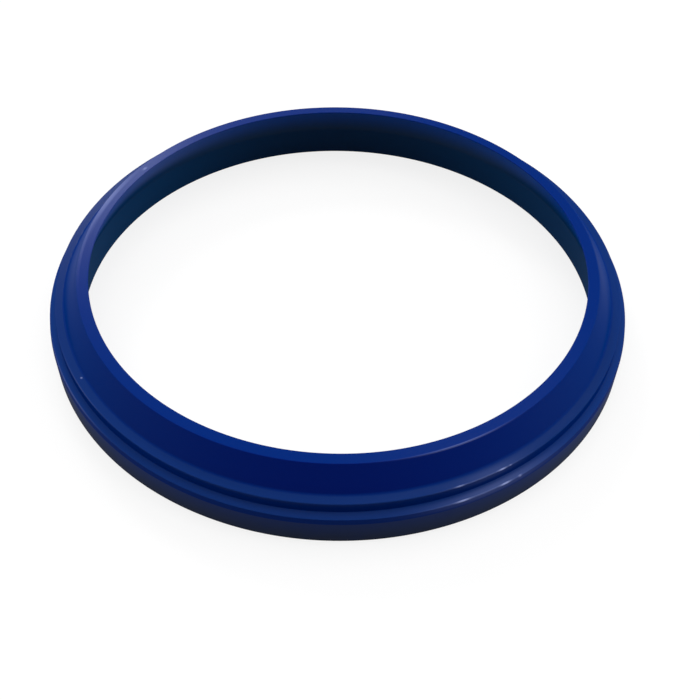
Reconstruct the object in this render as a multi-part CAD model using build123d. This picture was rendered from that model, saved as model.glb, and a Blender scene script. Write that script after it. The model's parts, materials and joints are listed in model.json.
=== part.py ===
from build123d import *
import os

# Rod wiper: one ring moulded in polyurethane, lying on its heel with the wiping lip up.
# Millimetres. +Z is the ring's axis, and z = 0 is the flat face of the heel.

# Diameters, and the depth of the section between the rod and the housing
rod_diameter = 80.0
section_depth = 6.0         # radial room between the rod and the housing wall
lip_interference = 2.0      # how much smaller than the rod the free lip is, on the diameter
bore_clearance = 1.6        # radial gap between the rod and the bore of the heel

# Heights, one above the other from the heel
wall_height = 4.2           # cylindrical wall that the housing grips
crown_height = 0.9          # slightly rounded lead-in above the wall
ledge_rise = 0.4            # how much the lower ledge rises from its edge to the neck
neck_height = 1.65          # upright step between the lower ledge and the shoulder
lip_height = 3.55           # from the shoulder up to the lip's end face
bore_height = 5.2           # bore of the heel, below the underside of the lip

# Widths across the section
crown_width = 0.15          # how far the lead-in draws in from the wall
ledge_width = 1.05          # lower ledge, from its edge to the foot of the neck
shoulder_width = 1.45       # flat shoulder between the neck and the foot of the lip
lip_width = 1.8             # flat end face of the lip

# Edges. The lip's end face is cut after moulding, so both of its edges stay sharp.
heel_chamfer = 0.3          # lead-in on both edges of the heel face
ledge_edge_radius = 0.2     # outer edge of the lower ledge
neck_foot_radius = 0.2      # inside corner where the neck rises from the lower ledge
shoulder_edge_radius = 0.2  # outer edge of the shoulder
lip_foot_radius = 0.5       # inside corner where the lip rises from the shoulder
throat_radius = 1.2         # where the underside of the lip turns into the bore

# Radii and levels that follow from the sizes above
rod_radius = rod_diameter / 2
outer_radius = rod_radius + section_depth
bore_radius = rod_radius + bore_clearance
lip_radius = rod_radius - lip_interference / 2
lip_back_offset = lip_radius + lip_width
ledge_radius = outer_radius - crown_width
neck_radius = ledge_radius - ledge_width
lip_foot_offset = neck_radius - shoulder_width

ledge_level = wall_height + crown_height
neck_foot_level = ledge_level + ledge_rise
shoulder_level = neck_foot_level + neck_height
lip_level = shoulder_level + lip_height


def section_corners():
    """The named corners of the ring's section, each as (distance from the axis, height)."""
    return {
        "heel_inner": (bore_radius, 0),
        "heel_outer": (outer_radius, 0),
        "wall_top": (outer_radius, wall_height),
        "ledge_edge": (ledge_radius, ledge_level),
        "neck_foot": (neck_radius, neck_foot_level),
        "shoulder_edge": (neck_radius, shoulder_level),
        "lip_foot": (lip_foot_offset, shoulder_level),
        "lip_back": (lip_back_offset, lip_level),
        "wiping_edge": (lip_radius, lip_level),
        "throat": (bore_radius, bore_height),
    }


def outer_side(corner):
    """Wall, crown, lower ledge, neck and shoulder: the side that faces the housing."""
    wall = Line(corner["heel_outer"], corner["wall_top"])
    crown = TangentArc(corner["wall_top"], corner["ledge_edge"], tangent=(0, 1))
    steps = Polyline(
        corner["ledge_edge"],
        corner["neck_foot"],
        corner["shoulder_edge"],
        corner["lip_foot"],
    )
    return wall + crown + steps


def lip_side(corner):
    """The lip's back, its end face, its underside and the bore: the side that faces the rod."""
    return Polyline(
        corner["lip_foot"],
        corner["lip_back"],
        corner["wiping_edge"],
        corner["throat"],
        corner["heel_inner"],
    )


def heel_face(corner):
    """The flat face that the ring stands on."""
    return Line(corner["heel_inner"], corner["heel_outer"])


def vertex_at(section, place):
    """The vertex of the section that lies at a named corner."""
    return section.vertices().sort_by_distance(place)[0]


def ring_section():
    """The section of the ring, in a plane whose x runs outwards and whose y runs up."""
    corner = section_corners()
    corner_radii = {
        "ledge_edge": ledge_edge_radius,
        "neck_foot": neck_foot_radius,
        "shoulder_edge": shoulder_edge_radius,
        "lip_foot": lip_foot_radius,
        "throat": throat_radius,
    }
    section = make_face(heel_face(corner) + outer_side(corner) + lip_side(corner))
    for name, radius in corner_radii.items():
        section = fillet(vertex_at(section, corner[name]), radius)
    for name in ("heel_inner", "heel_outer"):
        section = chamfer(vertex_at(section, corner[name]), heel_chamfer)
    return section


def wiper_ring():
    """The section turned once round the ring's axis."""
    upright = Plane.XZ * ring_section()
    return revolve(upright, axis=Axis.Z, revolution_arc=360)


os.makedirs("parts", exist_ok=True)
ring = wiper_ring()
ring.label = "wiper_ring"
export_step(ring, "parts/wiper_ring.step")
print(f"outer diameter {2 * outer_radius:.2f}, free lip {2 * lip_radius:.2f}, height {lip_level:.2f}")
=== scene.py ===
"""The look of a moulded polyurethane rod wiper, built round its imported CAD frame."""

import json
import logging
import math
from dataclasses import dataclass
from enum import Enum

import bmesh
import bpy
from mathutils import Matrix, Vector


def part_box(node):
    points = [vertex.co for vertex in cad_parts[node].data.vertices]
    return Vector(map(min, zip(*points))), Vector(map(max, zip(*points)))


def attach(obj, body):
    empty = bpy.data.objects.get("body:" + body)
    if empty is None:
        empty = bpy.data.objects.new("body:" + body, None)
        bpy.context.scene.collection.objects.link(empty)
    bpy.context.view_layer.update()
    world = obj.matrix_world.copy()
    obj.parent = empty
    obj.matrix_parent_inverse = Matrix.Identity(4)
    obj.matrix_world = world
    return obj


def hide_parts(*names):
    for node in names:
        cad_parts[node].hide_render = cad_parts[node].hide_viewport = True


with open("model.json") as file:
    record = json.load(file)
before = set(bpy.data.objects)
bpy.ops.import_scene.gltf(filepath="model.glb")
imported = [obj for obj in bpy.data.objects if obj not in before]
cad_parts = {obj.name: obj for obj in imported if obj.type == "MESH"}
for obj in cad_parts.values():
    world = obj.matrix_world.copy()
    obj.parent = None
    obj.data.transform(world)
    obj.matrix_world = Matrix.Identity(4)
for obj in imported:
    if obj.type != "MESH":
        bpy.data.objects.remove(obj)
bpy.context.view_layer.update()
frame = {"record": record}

log = logging.getLogger("wiper_scene")

MM = 0.001
FRAME_PIXELS = 700
SENSOR_MM = 36.0
RING_NODE = "wiper_ring"
RING_BODY = "root"
SKIN_NAME = "wiper_ring_skin"
NOISE_MIDDLE = 0.5
WHITE = (1.0, 1.0, 1.0, 1.0)

# A Mix node's sockets by place, because its colour sockets share their names with others
MIX_FACTOR = 0
MIX_FIRST = 6
MIX_SECOND = 7
MIX_RESULT = 2

Colour = tuple[float, float, float]


class Num:
    """A number socket of a node tree that Python's operators work on."""

    def __init__(self, bench: "TreeBench", socket: bpy.types.NodeSocket) -> None:
        """Keep the tree's bench and the socket that carries the number."""
        self.bench = bench
        self.socket = socket

    def math(self, operation: str, *values: "Num | float") -> "Num":
        """Add a Math node.

        Args:
            operation: the Math node's operation.
            values: its inputs, in order.

        Returns:
            The node's result.
        """
        inputs = dict(enumerate(values))
        return self.bench.add("ShaderNodeMath", {"operation": operation}, inputs).number("Value")

    def __add__(self, other: "Num | float") -> "Num":
        """Sum."""
        return self.math("ADD", self, other)

    def __radd__(self, other: float) -> "Num":
        """Sum with a plain number on the left."""
        return self.math("ADD", other, self)

    def __sub__(self, other: "Num | float") -> "Num":
        """Difference."""
        return self.math("SUBTRACT", self, other)

    def __rsub__(self, other: float) -> "Num":
        """Difference with a plain number on the left."""
        return self.math("SUBTRACT", other, self)

    def __mul__(self, other: "Num | float") -> "Num":
        """Product."""
        return self.math("MULTIPLY", self, other)

    def __rmul__(self, other: float) -> "Num":
        """Product with a plain number on the left."""
        return self.math("MULTIPLY", other, self)

    def __truediv__(self, other: "Num | float") -> "Num":
        """Quotient."""
        return self.math("DIVIDE", self, other)

    def __rtruediv__(self, other: float) -> "Num":
        """Quotient with a plain number on the left."""
        return self.math("DIVIDE", other, self)

    def __pow__(self, other: "Num | float") -> "Num":
        """Power."""
        return self.math("POWER", self, other)

    def ramp(self, low: float, high: float) -> "Num":
        """Rise smoothly from 0 at low to 1 at high."""
        inputs = {"Value": self, "From Min": low, "From Max": high}
        settings = {"interpolation_type": "SMOOTHSTEP"}
        return self.bench.add("ShaderNodeMapRange", settings, inputs).number("Result")

    def at_most(self, other: "Num | float") -> "Num":
        """The smaller of two numbers."""
        return self.math("MINIMUM", self, other)

    def at_least(self, other: "Num | float") -> "Num":
        """The larger of two numbers."""
        return self.math("MAXIMUM", self, other)

    def exp(self) -> "Num":
        """The natural exponential."""
        return self.math("EXPONENT", self)


class Placed:
    """A node that has been added, with its outputs by name."""

    def __init__(self, bench: "TreeBench", node: bpy.types.Node) -> None:
        """Keep the tree's bench and the node."""
        self.bench = bench
        self.node = node

    def number(self, name: str | int) -> Num:
        """One output, as a number for expressions."""
        return Num(self.bench, self.out(name))

    def out(self, name: str | int) -> bpy.types.NodeSocket:
        """One output, as a socket."""
        return self.node.outputs[name]


class TreeBench:
    """A node tree and the one method that puts nodes into it."""

    def __init__(self, tree: bpy.types.NodeTree) -> None:
        """Take an empty tree."""
        self.tree = tree

    def add(self, kind: str, settings: dict | None = None, inputs: dict | None = None) -> Placed:
        """Add a node, set it up and feed it.

        Args:
            kind: the node's type name.
            settings: its properties, set before its inputs.
            inputs: values, sockets or numbers, by input name or place.

        Returns:
            The node, with its outputs by name.
        """
        node = self.tree.nodes.new(kind)
        for name, value in (settings or {}).items():
            setattr(node, name, value)
        for name, value in (inputs or {}).items():
            self.feed(node.inputs[name], value)
        return Placed(self, node)

    def feed(self, socket: bpy.types.NodeSocket, value: object) -> None:
        """Link a socket, or set it to a plain value."""
        if isinstance(value, Num):
            value = value.socket
        if isinstance(value, bpy.types.NodeSocket):
            self.tree.links.new(value, socket)
        else:
            socket.default_value = value


@dataclass
class Corner:
    """One corner of the section.

    Attributes:
        radius: distance from the ring's axis, in metres.
        height: height over the heel face, in metres.
        bend: radius of the arc that rounds it, in metres.
    """

    radius: float
    height: float
    bend: float

    @property
    def place(self) -> Vector:
        """The corner as a point of the section's plane."""
        return Vector((self.radius, self.height))


class Line(Enum):
    """The lines round the ring that carry painted glints, painted sheen and small light specks:
    edges, and the middle of the lip's back.
    """

    WIPING = "wiping"
    LIP = "lip"
    BACK = "back"
    SHOULDER = "shoulder"
    LEDGE = "ledge"


@dataclass
class WiperSection:
    """The ring's section: its sizes and the outline that they give. Sizes are in metres.

    Attributes:
        outer_radius: cylindrical wall.
        bore_radius: bore of the heel.
        lip_level: height of the lip's end face.
        lip_radius: wiping edge of the lip.
        lip_width: flat end face of the lip.
        wall_height: top of the cylindrical wall.
        crown_height: height of the lead-in above the wall.
        crown_width: how far the lead-in draws in from the wall.
        ledge_rise: how much the lower ledge rises from its edge to the neck.
        ledge_width: lower ledge, from its edge to the foot of the neck.
        neck_height: upright step above the lower ledge.
        shoulder_width: flat shoulder outside the foot of the lip.
        bore_height: top of the bore.
        heel_chamfer: lead-in on both edges of the heel face.
        moulded_bend: radius of the outer edges of the lower ledge and the shoulder.
        neck_foot_bend: radius at the foot of the neck.
        lip_foot_bend: radius at the foot of the lip.
        throat_bend: radius between bore and underside of the lip.
        cut_bend: radius left on the cut edges of the lip.
        heel_bend: radius of the edges of the heel's lead-ins.
        crown_bend: radius where the wall turns into the lead-in.
        arc_steps: steps of each round corner.
        hold: how close to an arc a run has its first and last point.
        shortest_run: shortest run that has points of its own.
        run_step: longest step of a run.
    """

    outer_radius: float
    bore_radius: float
    lip_level: float
    lip_radius: float = 39.0 * MM
    lip_width: float = 1.8 * MM
    wall_height: float = 4.2 * MM
    crown_height: float = 0.9 * MM
    crown_width: float = 0.15 * MM
    ledge_rise: float = 0.4 * MM
    ledge_width: float = 1.05 * MM
    neck_height: float = 1.65 * MM
    shoulder_width: float = 1.45 * MM
    bore_height: float = 5.2 * MM
    heel_chamfer: float = 0.3 * MM
    moulded_bend: float = 0.13 * MM
    neck_foot_bend: float = 0.08 * MM
    lip_foot_bend: float = 0.5 * MM
    throat_bend: float = 1.2 * MM
    cut_bend: float = 0.1 * MM
    heel_bend: float = 0.08 * MM
    crown_bend: float = 0.3 * MM
    arc_steps: int = 7
    hold: float = 0.035 * MM
    shortest_run: float = 0.14 * MM
    run_step: float = 0.7 * MM

    @property
    def back_radius(self) -> float:
        """Outer edge of the lip's end face."""
        return self.lip_radius + self.lip_width

    @property
    def ledge_radius(self) -> float:
        """Outer edge of the lower ledge."""
        return self.outer_radius - self.crown_width

    @property
    def neck_radius(self) -> float:
        """The neck, and with it the outer edge of the shoulder."""
        return self.ledge_radius - self.ledge_width

    @property
    def foot_radius(self) -> float:
        """Inner edge of the shoulder, at the foot of the lip."""
        return self.neck_radius - self.shoulder_width

    @property
    def ledge_level(self) -> float:
        """Height of the outer edge of the lower ledge."""
        return self.wall_height + self.crown_height

    @property
    def neck_foot_level(self) -> float:
        """Height of the inner corner of the lower ledge."""
        return self.ledge_level + self.ledge_rise

    @property
    def shoulder_level(self) -> float:
        """Height of the flat shoulder."""
        return self.neck_foot_level + self.neck_height

    def line(self, which: Line) -> Vector:
        """One of the lines, as a point of the section's plane."""
        lip = Vector((self.back_radius, self.lip_level))
        return {
            Line.WIPING: Vector((self.lip_radius, self.lip_level)),
            Line.LIP: lip,
            Line.BACK: lip.lerp(Vector((self.foot_radius, self.shoulder_level)), 0.5),
            Line.SHOULDER: Vector((self.neck_radius, self.shoulder_level)),
            Line.LEDGE: Vector((self.ledge_radius, self.ledge_level)),
        }[which]

    def corners(self) -> list[Corner]:
        """The corners of the section, from the heel up the wall, over the lip and down the bore."""
        lead = self.heel_chamfer
        return [
            Corner(self.outer_radius - lead, 0.0, self.heel_bend),
            Corner(self.outer_radius, lead, self.heel_bend),
            Corner(self.outer_radius, self.wall_height, self.crown_bend),
            Corner(self.ledge_radius, self.ledge_level, self.moulded_bend),
            Corner(self.neck_radius, self.neck_foot_level, self.neck_foot_bend),
            Corner(self.neck_radius, self.shoulder_level, self.moulded_bend),
            Corner(self.foot_radius, self.shoulder_level, self.lip_foot_bend),
            Corner(self.back_radius, self.lip_level, self.cut_bend),
            Corner(self.lip_radius, self.lip_level, self.cut_bend),
            Corner(self.bore_radius, self.bore_height, self.throat_bend),
            Corner(self.bore_radius, lead, self.heel_bend),
            Corner(self.bore_radius + lead, 0.0, self.heel_bend),
        ]

    def outline(self) -> list[Vector]:
        """The closed outline as points: an arc at each corner and a run between each two arcs."""
        corners = self.corners()
        arcs = []
        for index, corner in enumerate(corners):
            before = corners[index - 1].place
            after = corners[(index + 1) % len(corners)].place
            arcs.append(self.arc(corner, before, after))
        points: list[Vector] = []
        for index, arc in enumerate(arcs):
            points.extend(arc)
            points.extend(self.run(arc[-1], arcs[(index + 1) % len(arcs)][0]))
        return points

    def arc(self, corner: Corner, before: Vector, after: Vector) -> list[Vector]:
        """The points of the arc that rounds one corner.

        Args:
            corner: the corner.
            before: the corner before it.
            after: the corner after it.

        Returns:
            The points, in the outline's order.
        """
        back = (before - corner.place).normalized()
        ahead = (after - corner.place).normalized()
        half = back.angle(ahead) / 2
        leg = corner.bend / math.tan(half)
        middle = corner.place + (back + ahead).normalized() * (corner.bend / math.sin(half))
        start = corner.place + back * leg - middle
        sweep = start.angle_signed(corner.place + ahead * leg - middle)
        points = []
        for step in range(self.arc_steps + 1):
            spoke = start.copy()
            spoke.rotate(Matrix.Rotation(-sweep * step / self.arc_steps, 2))
            points.append(middle + spoke)
        return points

    def run(self, start: Vector, end: Vector) -> list[Vector]:
        """The points of a straight run, the first and last close to its arcs, so that it shades flat.

        Args:
            start: end of the arc before it.
            end: start of the arc after it.

        Returns:
            The points between the two.
        """
        length = (end - start).length
        if length < self.shortest_run:
            return []
        steps = math.ceil(length / self.run_step)
        shares = [step / steps for step in range(1, steps)]
        shares = [self.hold / length, *shares, 1 - self.hold / length]
        return [start.lerp(end, share) for share in shares]


@dataclass(frozen=True)
class GlintAndSpeck:
    """A painted highlight along one of the ring's lines: a glint, a streak of sheen or a small light
    speck.

    Attributes:
        line: the line that it lies on.
        azimuth: degrees round from +X.
        length: half its length, in metres.
        strength: how much of the painted highlight colour it shows, from 0 to 1.
        spread: how far from the line it fades out, in metres.
        inset: how far inside the line it lies, in metres.
    """

    line: Line
    azimuth: float
    length: float
    strength: float
    spread: float = 0.2 * MM
    inset: float = 0.0


@dataclass
class Zones:
    """The parts of the ring's skin that look different, as masks from 0 to 1. Sizes are in metres.

    Attributes:
        section: the section that the zones follow.
        x: place along X, in the material's nodes.
        y: place along Y.
        height: height over the heel face.
        soft: width of a narrow fade.
        broad: width of the fades round the foot of the lip.
        reflection_start: how far inside the wall its painted reflection of the floor starts.
        reflection_whole: how far inside the wall that painted reflection is whole.
        shoulder_start: how far below the shoulder its colour starts.
        shoulder_whole: how far below the shoulder that colour is whole.
        inner_depth: how far behind the wiping edge the inside ends.
        inner_lean: how much more its limit leans than the lip's underside.
        bore_depth: how far behind the bore the inside ends.
        side_fade: width of the fade to the side of the ring that a mark is on.
        mark_core: share of a mark's spread that shows it whole.
    """

    section: WiperSection
    x: Num
    y: Num
    height: Num
    soft: float = 0.1 * MM
    broad: float = 0.3 * MM
    reflection_start: float = 1.0 * MM
    reflection_whole: float = 0.7 * MM
    shoulder_start: float = 0.15 * MM
    shoulder_whole: float = 0.05 * MM
    inner_depth: float = 0.4 * MM
    inner_lean: float = 1.2
    bore_depth: float = 0.15 * MM
    side_fade: float = 1.0 * MM
    mark_core: float = 0.25

    def __post_init__(self) -> None:
        """Work out the distance from the axis."""
        self.radius = (self.x * self.x + self.y * self.y) ** 0.5

    def cut(self) -> Num:
        """The lip's cut end face."""
        section, edge = self.section, self.section.cut_bend
        level = self.height.ramp(section.lip_level - 2 * edge, section.lip_level - edge / 2)
        return level * self.radius.ramp(section.back_radius, section.back_radius - edge)

    def inner(self) -> Num:
        """The bore and the underside of the lip."""
        section = self.section
        lean = (section.bore_radius - section.lip_radius) / (section.lip_level - section.bore_height)
        limit = (section.lip_level - self.height) * (self.inner_lean * lean) + section.lip_radius
        limit = (limit + self.inner_depth).at_most(section.bore_radius + self.bore_depth)
        return (self.radius - limit).ramp(self.soft, 0.0)

    def wall(self) -> Num:
        """The outer wall, which carries the painted reflection of the floor."""
        outer, top = self.section.outer_radius, self.section.wall_height
        outside = self.radius.ramp(outer - self.reflection_start, outer - self.reflection_whole)
        return outside * self.height.ramp(top + self.soft, top - self.soft)

    def climb(self) -> Num:
        """0 at the foot of the wall, 1 at its top."""
        return self.height / self.section.wall_height

    def thinness(self) -> Num:
        """0 at the top of the bore, 1 at the lip's end face."""
        return self.height.ramp(self.section.bore_height, self.section.lip_level)

    def lip(self) -> Num:
        """The lip above the shoulder."""
        level = self.section.shoulder_level
        return self.height.ramp(level, level + self.broad)

    def sides(self) -> Num:
        """0 at the front and the back of the ring, 1 at its two sides."""
        return (self.x / self.section.outer_radius) ** 2.0

    def shoulder(self) -> Num:
        """The flat shoulder."""
        level, foot = self.section.shoulder_level, self.section.foot_radius
        above = self.height.ramp(level - self.shoulder_start, level - self.shoulder_whole)
        return above * self.radius.ramp(foot, foot + self.broad)

    def ledge(self) -> Num:
        """The lower ledge."""
        level, neck = self.section.ledge_level, self.section.neck_radius
        return self.height.ramp(level - self.soft, level) * self.radius.ramp(neck, neck + self.soft)

    def glint_and_speck_mask(self, glints_and_specks: tuple[GlintAndSpeck, ...]) -> Num:
        """The painted glints, sheen and light specks, each as strong as it is given."""
        marks = 0.0
        for glint_and_speck in glints_and_specks:
            turn = math.radians(glint_and_speck.azimuth)
            aside = (self.y * math.cos(turn) - self.x * math.sin(turn)) / glint_and_speck.length
            ahead = (self.x * math.cos(turn) + self.y * math.sin(turn)).ramp(0.0, self.side_fade)
            streak = (aside * aside * -1.0).exp() * ahead * glint_and_speck.strength
            middle = self.section.line(glint_and_speck.line) - Vector((glint_and_speck.inset, 0.0))
            marks = streak * self.around(middle, glint_and_speck.spread) + marks
        return marks

    def around(self, middle: Vector, spread: float) -> Num:
        """1 at a point of the section, 0 beyond the spread."""
        across, up = self.radius - middle.x, self.height - middle.y
        core = spread * self.mark_core
        return (across * across + up * up).ramp(spread ** 2, core ** 2)


@dataclass
class RingSweep:
    """The Geometry Nodes tree that carries the section once round the axis. Sizes are in metres.

    Attributes:
        path_radius: radius of the circle that the section follows.
        steps: steps round the ring.
        sway: how far the moulded skin wanders from its true place.
        sway_length: distance over which the sway changes.
        sway_detail: detail of the sway's noise.
        seed: the noise's fixed seed.
    """

    path_radius: float
    steps: int = 480
    sway: float = 0.02 * MM
    sway_length: float = 24.0 * MM
    sway_detail: float = 1.0
    seed: float = 3.0

    def tree(self, material: bpy.types.Material) -> bpy.types.NodeTree:
        """Build the tree.

        Args:
            material: the finish that the swept mesh gets.

        Returns:
            The tree, with its sizes as named inputs.
        """
        tree = bpy.data.node_groups.new("ring_sweep", "GeometryNodeTree")
        face = tree.interface
        face.new_socket("Section", in_out="INPUT", socket_type="NodeSocketGeometry")
        for name, kind in (("Path radius", "Float"), ("Steps", "Int"), ("Sway", "Float"),
                           ("Sway length", "Float"), ("Seed", "Float")):
            face.new_socket(name, in_out="INPUT", socket_type="NodeSocket" + kind)
        face.new_socket("Ring", in_out="OUTPUT", socket_type="NodeSocketGeometry")
        bench = TreeBench(tree)
        given = bench.add("NodeGroupInput")
        profile = bench.add("GeometryNodeMeshToCurve", inputs={"Mesh": given.out("Section")})
        circle = bench.add("GeometryNodeCurvePrimitiveCircle", inputs={
            "Resolution": given.out("Steps"), "Radius": given.out("Path radius")})
        swept = bench.add("GeometryNodeCurveToMesh", inputs={
            "Curve": circle.out("Curve"), "Profile Curve": profile.out("Curve")})
        wander = bench.add("ShaderNodeTexNoise", {"noise_dimensions": "4D"}, {
            "Vector": bench.add("GeometryNodeInputPosition").out("Position"),
            "W": given.out("Seed"), "Scale": 1.0 / given.number("Sway length"),
            "Detail": self.sway_detail})
        shift = (wander.number(0) - NOISE_MIDDLE) * given.number("Sway")
        offset = bench.add("ShaderNodeVectorMath", {"operation": "SCALE"}, {
            "Vector": bench.add("GeometryNodeInputNormal").out("Normal"), "Scale": shift})
        moved = bench.add("GeometryNodeSetPosition", inputs={
            "Geometry": swept.out("Mesh"), "Offset": offset.out("Vector")})
        smooth = bench.add("GeometryNodeSetShadeSmooth", inputs={"Geometry": moved.out(0)})
        real = bench.add("GeometryNodeRealizeInstances", inputs={"Geometry": smooth.out(0)})
        dressed = bench.add("GeometryNodeSetMaterial", inputs={
            "Geometry": real.out(0), "Material": material})
        bench.add("NodeGroupOutput", inputs={"Ring": dressed.out(0)})
        return tree

    def values(self) -> dict[str, float | int]:
        """The tree's inputs by name."""
        return {
            "Path radius": self.path_radius,
            "Steps": self.steps,
            "Sway": self.sway,
            "Sway length": self.sway_length,
            "Seed": self.seed,
        }


@dataclass(frozen=True)
class Polyurethane:
    """Moulded blue polyurethane with a knife-cut lip. Colours are linear, sizes in metres.

    Attributes:
        moulded: colour of the moulded skin.
        lip_shaded: colour of the lip's back at the front and the back of the ring, darker for painted
            shade.
        lip_lit: the same at the ring's two sides, lighter for painted light.
        thin_lip_light: painted light on the lip's underside where it gets thin, for the light that
            comes through it.
        shoulder: colour of the flat shoulder, lighter and greyer for a painted sheen.
        ledge: colour of the lower ledge, with a painted sheen, also lightened as painted light
            against the shade under the neck.
        bore: colour of the skin inside the heel, darkened for painted shade.
        wall_reflection: painted reflection of the floor on the outer wall, greyish blue, at its top.
        wall_reflection_foot: the same at the heel, darker and greyer for painted shade.
        cut: colour of the lip's cut end face.
        skin_roughness: roughness of the moulded skin.
        wall_roughness: how much rougher the wall and the inside are.
        cut_roughness: roughness of the cut face.
        glint_and_speck: colour of the painted glints, sheen and light specks.
        gloss: coat weight of the skin.
        coat_roughness: roughness of the coat.
        cloud_scale: scale of the skin's broad unevenness, per metre.
        cloud_detail: detail of that noise.
        grain_scale: scale of the skin's fine grain, per metre.
        grain_detail: detail of that noise.
        patchiness: how much the wall's painted reflection varies with the broad unevenness.
        unevenness: how much the roughness varies with it.
        bump_strength: strength of the skin's bump.
        bump_depth: depth of the skin's bump.
        glints_and_specks: the painted glints and streaks of sheen along the edges and the lip, with
            small light specks last.
    """

    moulded: Colour = (0.0, 0.018, 0.152)
    lip_shaded: Colour = (0.0, 0.0095, 0.142)
    lip_lit: Colour = (0.0, 0.026, 0.168)
    thin_lip_light: Colour = (0.0, 0.046, 0.27)
    shoulder: Colour = (0.004, 0.0255, 0.147)
    ledge: Colour = (0.005, 0.0315, 0.178)
    bore: Colour = (0.001, 0.032, 0.106)
    wall_reflection: Colour = (0.017, 0.036, 0.142)
    wall_reflection_foot: Colour = (0.024, 0.034, 0.062)
    cut: Colour = (0.0, 0.0168, 0.147)
    skin_roughness: float = 0.3
    wall_roughness: float = 0.2
    cut_roughness: float = 0.2
    glint_and_speck: Colour = (0.3, 0.36, 0.68)
    gloss: float = 0.054
    coat_roughness: float = 0.19
    cloud_scale: float = 260.0
    cloud_detail: float = 3.0
    grain_scale: float = 900.0
    grain_detail: float = 2.0
    patchiness: float = 0.5
    unevenness: float = 0.1
    bump_strength: float = 0.25
    bump_depth: float = 0.02 * MM
    # Painted highlights: glints where the edges catch the lamps, streaks of sheen along the lip and
    # its back, then small light specks.
    glints_and_specks: tuple[GlintAndSpeck, ...] = (
        GlintAndSpeck(Line.SHOULDER, 291.7, 0.6 * MM, 0.5),
        GlintAndSpeck(Line.SHOULDER, 300.2, 0.6 * MM, 0.8),
        GlintAndSpeck(Line.SHOULDER, 296.0, 5.0 * MM, 0.12),
        GlintAndSpeck(Line.SHOULDER, 214.0, 6.0 * MM, 0.07),
        GlintAndSpeck(Line.LEDGE, 291.9, 0.9 * MM, 0.8),
        GlintAndSpeck(Line.LEDGE, 300.3, 0.7 * MM, 0.9),
        GlintAndSpeck(Line.LEDGE, 295.0, 6.0 * MM, 0.12),
        GlintAndSpeck(Line.LEDGE, 211.0, 8.0 * MM, 0.14),
        GlintAndSpeck(Line.LIP, 294.0, 6.0 * MM, 0.2),
        GlintAndSpeck(Line.SHOULDER, 298.0, 5.0 * MM, 0.07, 1.3 * MM),
        GlintAndSpeck(Line.LEDGE, 298.0, 9.0 * MM, 0.14, 1.0 * MM),
        GlintAndSpeck(Line.WIPING, 152.0, 18.0 * MM, 0.10, 5.0 * MM),
        GlintAndSpeck(Line.LIP, 161.0, 6.0 * MM, 0.22, 0.9 * MM),
        GlintAndSpeck(Line.LIP, 176.0, 7.0 * MM, 0.10, 0.5 * MM),
        GlintAndSpeck(Line.BACK, 177.0, 9.0 * MM, 0.06, 2.3 * MM),
        GlintAndSpeck(Line.BACK, 1.0, 9.0 * MM, 0.06, 2.3 * MM),
        GlintAndSpeck(Line.SHOULDER, 212.2, 0.13 * MM, 0.6, 0.18 * MM, 0.95 * MM),
        GlintAndSpeck(Line.LIP, 147.5, 0.4 * MM, 0.3, 0.3 * MM, 0.9 * MM),
        GlintAndSpeck(Line.SHOULDER, 301.9, 0.2 * MM, 0.35),
        GlintAndSpeck(Line.LEDGE, 303.4, 0.25 * MM, 0.4, 0.25 * MM),
    )

    def material(self, section: WiperSection) -> bpy.types.Material:
        """Build the finish.

        Args:
            section: the section that the zones follow.

        Returns:
            The material, on Object coordinates.
        """
        material = bpy.data.materials.new("moulded_polyurethane")
        material.use_nodes = True
        material.node_tree.nodes.clear()
        bench = TreeBench(material.node_tree)
        place = bench.add("ShaderNodeTexCoord").out("Object")
        axes = bench.add("ShaderNodeSeparateXYZ", inputs={"Vector": place})
        x, y, height = (axes.number(name) for name in ("X", "Y", "Z"))
        zones = Zones(section, x, y, height)
        cloud = bench.add("ShaderNodeTexNoise", inputs={
            "Vector": place, "Scale": self.cloud_scale, "Detail": self.cloud_detail}).number(0)
        grain = bench.add("ShaderNodeTexNoise", inputs={
            "Vector": place, "Scale": self.grain_scale, "Detail": self.grain_detail}).number(0)
        drift = cloud - NOISE_MIDDLE
        cut, inner, wall = zones.cut(), zones.inner(), zones.wall()
        # Painted shade and light: the lip's back is darker at the front and back of the ring, lighter
        # at its two sides.
        lip = self.blend(bench, zones.sides(), self.lip_shaded, self.lip_lit)
        outside = self.blend(bench, zones.lip(), self.moulded, lip)
        # Painted shade inside the heel, turning to painted light towards the thin lip.
        inside = self.blend(bench, zones.thinness(), self.bore, self.thin_lip_light)
        skin = self.blend(bench, inner, outside, inside)
        # Painted sheen on the lower ledge and the shoulder; the ledge is also lightened against the
        # shade under the neck.
        skin = self.blend(bench, zones.ledge(), skin, self.ledge)
        skin = self.blend(bench, zones.shoulder(), skin, self.shoulder)
        # Painted reflection of the floor on the outer wall, with painted shade darker towards the
        # heel.
        wall_reflection = self.blend(bench, zones.climb(), self.wall_reflection_foot, self.wall_reflection)
        skin = self.blend(bench, wall * (drift * self.patchiness + 1.0), skin, wall_reflection)
        body = self.blend(bench, cut, skin, self.cut)
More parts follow.
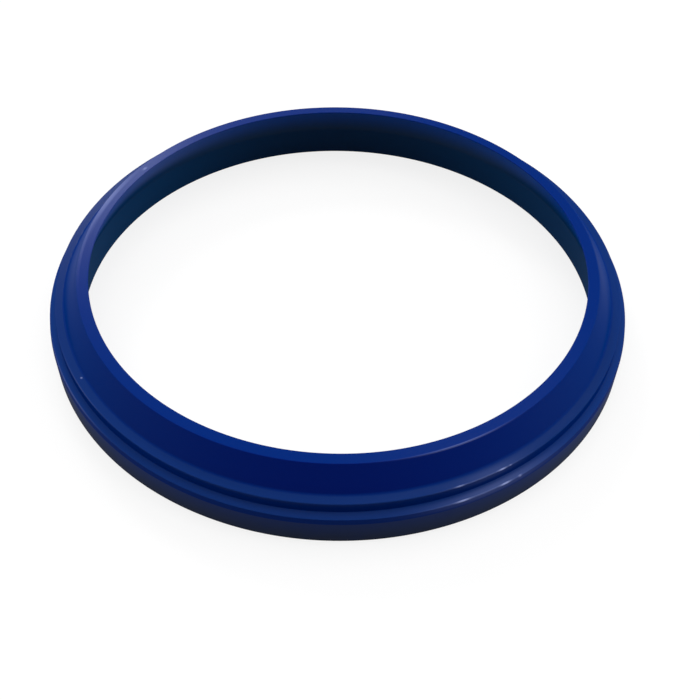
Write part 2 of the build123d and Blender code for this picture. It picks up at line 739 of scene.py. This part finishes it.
        # Painted highlights: glints, sheen and light specks lighten the colour along the ring's
        # lines.
        colour = self.blend(bench, zones.glint_and_speck_mask(self.glints_and_specks), body, self.glint_and_speck)
        roughness = (cut * (self.cut_roughness - self.skin_roughness) + self.skin_roughness
                     + (wall + inner) * self.wall_roughness + drift * self.unevenness)
        bump = bench.add("ShaderNodeBump", inputs={
            "Strength": self.bump_strength, "Distance": self.bump_depth, "Height": grain + cloud})
        shader = bench.add("ShaderNodeBsdfPrincipled", inputs={
            "Base Color": colour, "Roughness": roughness, "Normal": bump.out("Normal"),
            "Specular IOR Level": 0.0, "Coat Roughness": self.coat_roughness,
            "Coat Weight": self.gloss})
        bench.add("ShaderNodeOutputMaterial", inputs={"Surface": shader.out("BSDF")})
        return material

    @staticmethod
    def blend(bench: TreeBench, factor: Num, first: Colour | bpy.types.NodeSocket,
              second: Colour | bpy.types.NodeSocket) -> bpy.types.NodeSocket:
        """Mix two colours.

        Args:
            bench: the material's bench.
            factor: 0 gives the first colour, 1 the second.
            first: a colour or a colour socket.
            second: a colour or a colour socket.

        Returns:
            The mixed colour's socket.
        """
        settings = {"data_type": "RGBA", "clamp_factor": True}
        inputs = {MIX_FACTOR: factor}
        for place, colour in ((MIX_FIRST, first), (MIX_SECOND, second)):
            inputs[place] = (*colour, 1.0) if isinstance(colour, tuple) else colour
        return bench.add("ShaderNodeMix", settings, inputs).out(MIX_RESULT)


@dataclass
class WiperRing:
    """The ring itself.

    Attributes:
        section: the section that goes round.
        finish: what the skin is made to look like.
    """

    section: WiperSection
    finish: Polyurethane

    def build(self) -> bpy.types.Object:
        """Sweep the section into one plain mesh.

        Returns:
            The finished ring.
        """
        sweep = RingSweep(path_radius=self.section.bore_radius)
        carrier = self.carrier(sweep.path_radius)
        modifier = carrier.modifiers.new("sweep", "NODES")
        modifier.node_group = sweep.tree(self.finish.material(self.section))
        values = sweep.values()
        for item in modifier.node_group.interface.items_tree:
            if item.name in values and item.in_out == "INPUT":
                modifier[item.identifier] = values[item.name]
        ring = self.baked(carrier)
        bpy.data.objects.remove(carrier)
        return ring

    def carrier(self, path_radius: float) -> bpy.types.Object:
        """The outline as a loop of edges in the sweep's own plane: x outwards, y down."""
        points = [(p.x - path_radius, -p.y, 0.0) for p in self.section.outline()]
        edges = [(i, (i + 1) % len(points)) for i in range(len(points))]
        mesh = bpy.data.meshes.new("ring_section")
        mesh.from_pydata(points, edges, [])
        carrier = bpy.data.objects.new("ring_section", mesh)
        bpy.context.scene.collection.objects.link(carrier)
        return carrier

    @staticmethod
    def baked(carrier: bpy.types.Object) -> bpy.types.Object:
        """The carrier's evaluated mesh as an object of its own, with its faces turned outwards."""
        evaluated = carrier.evaluated_get(bpy.context.evaluated_depsgraph_get())
        mesh = bpy.data.meshes.new_from_object(evaluated)
        mesh.name = SKIN_NAME
        shape = bmesh.new()
        shape.from_mesh(mesh)
        if shape.calc_volume(signed=True) < 0:
            bmesh.ops.reverse_faces(shape, faces=shape.faces)
        shape.to_mesh(mesh)
        shape.free()
        ring = bpy.data.objects.new(SKIN_NAME, mesh)
        bpy.context.scene.collection.objects.link(ring)
        return ring


def direction(azimuth: float, elevation: float) -> Vector:
    """The unit vector at an azimuth round from +X and an elevation over the floor, in degrees."""
    turn, rise = math.radians(azimuth), math.radians(elevation)
    return Vector((math.cos(rise) * math.cos(turn), math.cos(rise) * math.sin(turn), math.sin(rise)))


@dataclass(frozen=True)
class Softbox:
    """One area lamp that faces the ring.

    Attributes:
        name: the lamp's name.
        azimuth: degrees round from +X.
        elevation: degrees over the floor.
        width: degrees that it spans along the floor.
        height: degrees that it spans across.
        radiance: brightness of its face, where 1 is white.
        distance: metres from the ring's centre.
    """

    name: str
    azimuth: float
    elevation: float
    width: float
    height: float
    radiance: float
    distance: float = 1.5

    def place(self) -> None:
        """Put the lamp into the scene."""
        lamp = bpy.data.lights.new(self.name, "AREA")
        lamp.shape = "RECTANGLE"
        lamp.size = 2 * self.distance * math.tan(math.radians(self.width / 2))
        lamp.size_y = 2 * self.distance * math.tan(math.radians(self.height / 2))
        lamp.energy = self.radiance * math.pi * lamp.size * lamp.size_y
        holder = bpy.data.objects.new(self.name, lamp)
        away = direction(self.azimuth, self.elevation)
        holder.location = away * self.distance
        holder.rotation_euler = away.to_track_quat("Z", "Y").to_euler()
        bpy.context.scene.collection.objects.link(holder)


@dataclass(frozen=True)
class Glow:
    """One soft lobe of the sky's light.

    Attributes:
        azimuth: degrees round from +X.
        elevation: degrees over the floor.
        strength: radiance at the lobe's middle.
        sharpness: how narrow the lobe is.
    """

    azimuth: float
    elevation: float
    strength: float
    sharpness: float = 20.0

    def along(self, bench: TreeBench, way: bpy.types.NodeSocket) -> Num:
        """The lobe's radiance along a direction.

        Args:
            bench: the world's bench.
            way: the direction's socket.

        Returns:
            The radiance.
        """
        axis = direction(self.azimuth, self.elevation)
        near = bench.add("ShaderNodeVectorMath", {"operation": "DOT_PRODUCT"}, {0: way, 1: axis})
        return ((near.number("Value") - 1.0) * self.sharpness).exp() * self.strength


@dataclass
class Camera:
    """The camera at the photograph's viewing angle.

    Attributes:
        distance: metres from the centre of the heel face.
        elevation: degrees over the floor.
        pitch: degrees that it looks below the centre.
        yaw: degrees that it looks to the right of the centre.
        roll: degrees that it leans.
        focal_pixels: focal length in pixels of the photograph's frame.
        near: nearest that it shows, in metres.
        far: farthest that it shows, in metres.
    """

    distance: float = 169.9 * MM
    elevation: float = 44.65
    pitch: float = 2.606
    yaw: float = 0.991
    roll: float = 1.509
    focal_pixels: float = 1022.8
    near: float = 0.01
    far: float = 100.0

    def place(self) -> None:
        """Put the camera into the scene and make it the scene's camera."""
        data = bpy.data.cameras.new("camera")
        data.sensor_width = SENSOR_MM
        data.lens = SENSOR_MM * self.focal_pixels / FRAME_PIXELS
        data.clip_start = self.near
        data.clip_end = self.far
        camera = bpy.data.objects.new("camera", data)
        rise = math.radians(self.elevation)
        dip = math.radians(self.elevation + self.pitch)
        yaw, roll = math.radians(self.yaw), math.radians(self.roll)
        ahead = Vector((math.sin(yaw) * math.cos(dip), math.cos(yaw) * math.cos(dip), -math.sin(dip)))
        right = ahead.cross(Vector((0, 0, 1))).normalized()
        up = right.cross(ahead)
        leant_right = right * math.cos(roll) + up * math.sin(roll)
        leant_up = up * math.cos(roll) - right * math.sin(roll)
        turn = Matrix((leant_right, leant_up, -ahead)).transposed()
        spot = Vector((0, -math.cos(rise), math.sin(rise))) * self.distance
        camera.matrix_world = Matrix.Translation(spot) @ turn.to_4x4()
        bpy.context.scene.collection.objects.link(camera)
        bpy.context.scene.camera = camera


@dataclass
class Studio:
    """The plain pale floor and the soft light round it.

    Attributes:
        reach: radius of the floor, in metres.
        segments: sides of the floor's disc.
        bounce: linear grey that the floor throws back at the ring.
        paper: linear grey of the floor that is seen.
        shadowless: share of the seen floor that is plain white, which keeps the shadow faint.
        glows: the sky's lobes.
        softboxes: the lamps.
    """

    reach: float = 4.0
    segments: int = 96
    bounce: float = 0.31
    paper: float = 0.9
    shadowless: float = 0.82
    glows: tuple[Glow, ...] = (
        Glow(0.0, 90.0, 3.04),
        Glow(60.0, 60.0, 1.04),
        Glow(120.0, 60.0, 1.28),
        Glow(180.0, 60.0, 0.96),
        Glow(30.0, 32.0, 2.4),
        Glow(60.0, 32.0, 1.04),
        Glow(90.0, 32.0, 0.32),
        Glow(150.0, 32.0, 1.44),
        Glow(0.0, 10.0, 4.96),
        Glow(180.0, 10.0, 3.36),
        Glow(210.0, 10.0, 0.96),
        Glow(325.0, 10.0, 0.64),
    )
    softboxes: tuple[Softbox, ...] = (
        Softbox("window", 111.5, 32.0, 15.0, 13.0, 20.0),
        Softbox("curtain", 95.0, 32.0, 17.0, 12.0, 3.5),
        Softbox("top_box", 75.0, 53.0, 12.0, 12.0, 3.0),
        Softbox("side_box", 3.0, 61.0, 14.0, 14.0, 5.0),
    )

    def build(self) -> None:
        """Make the floor, the world and the lamps."""
        self.floor()
        self.world()
        for softbox in self.softboxes:
            softbox.place()

    @staticmethod
    def seen(bench: TreeBench) -> Num:
        """1 for the rays that show the background: camera, glossy and transmission rays."""
        path = bench.add("ShaderNodeLightPath")
        straight = path.number("Is Camera Ray").at_least(path.number("Is Glossy Ray"))
        return straight.at_least(path.number("Is Transmission Ray"))

    def floor(self) -> None:
        """A plain pale disc."""
        shape = bmesh.new()
        bmesh.ops.create_circle(shape, cap_ends=True, segments=self.segments, radius=self.reach)
        mesh = bpy.data.meshes.new("floor")
        shape.to_mesh(mesh)
        shape.free()
        material = bpy.data.materials.new("floor_paint")
        material.use_nodes = True
        material.node_tree.nodes.clear()
        bench = TreeBench(material.node_tree)
        dull = bench.add("ShaderNodeBsdfDiffuse", inputs={"Color": (*[self.bounce] * 3, 1.0)})
        paper = bench.add("ShaderNodeBsdfDiffuse", inputs={"Color": (*[self.paper] * 3, 1.0)})
        glow = bench.add("ShaderNodeEmission", inputs={"Color": WHITE, "Strength": 1.0})
        pale = bench.add("ShaderNodeMixShader", inputs={
            0: self.shadowless, 1: paper.out("BSDF"), 2: glow.out("Emission")})
        shader = bench.add("ShaderNodeMixShader", inputs={
            0: self.seen(bench), 1: dull.out("BSDF"), 2: pale.out("Shader")})
        bench.add("ShaderNodeOutputMaterial", inputs={"Surface": shader.out("Shader")})
        mesh.materials.append(material)
        floor = bpy.data.objects.new("floor", mesh)
        bpy.context.scene.collection.objects.link(floor)

    def world(self) -> None:
        """The soft light, with plain white for the rays that show the background."""
        world = bpy.data.worlds.new("studio")
        bpy.context.scene.world = world
        world.use_nodes = True
        world.node_tree.nodes.clear()
        bench = TreeBench(world.node_tree)
        way = bench.add("ShaderNodeTexCoord").out("Generated")
        light = self.glows[0].along(bench, way)
        for glow in self.glows[1:]:
            light = light + glow.along(bench, way)
        seen = self.seen(bench)
        strength = light * (1.0 - seen) + seen
        sky = bench.add("ShaderNodeBackground", inputs={"Color": WHITE, "Strength": strength})
        bench.add("ShaderNodeOutputWorld", inputs={"Surface": sky.out("Background")})


def mount_size(name: str, size: str) -> float:
    """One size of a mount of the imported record, in metres."""
    mount = next(m for m in frame["record"]["mounts"] if m["name"] == name)
    return mount["dims"][size] * MM


def main() -> None:
    """Build the studio and the ring round the frame."""
    logging.basicConfig(level=logging.INFO)
    bpy.context.scene.view_settings.view_transform = "Standard"
    Camera().place()
    Studio().build()
    section = WiperSection(
        outer_radius=mount_size("housing_wall", "r_mm"),
        bore_radius=mount_size("heel_bore", "r_mm"),
        lip_level=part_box(RING_NODE)[1].z,
    )
    ring = WiperRing(section, Polyurethane()).build()
    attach(ring, RING_BODY)
    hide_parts(RING_NODE)
    log.info("ring: %d faces", len(ring.data.polygons))


if __name__ == "__main__":
    main()
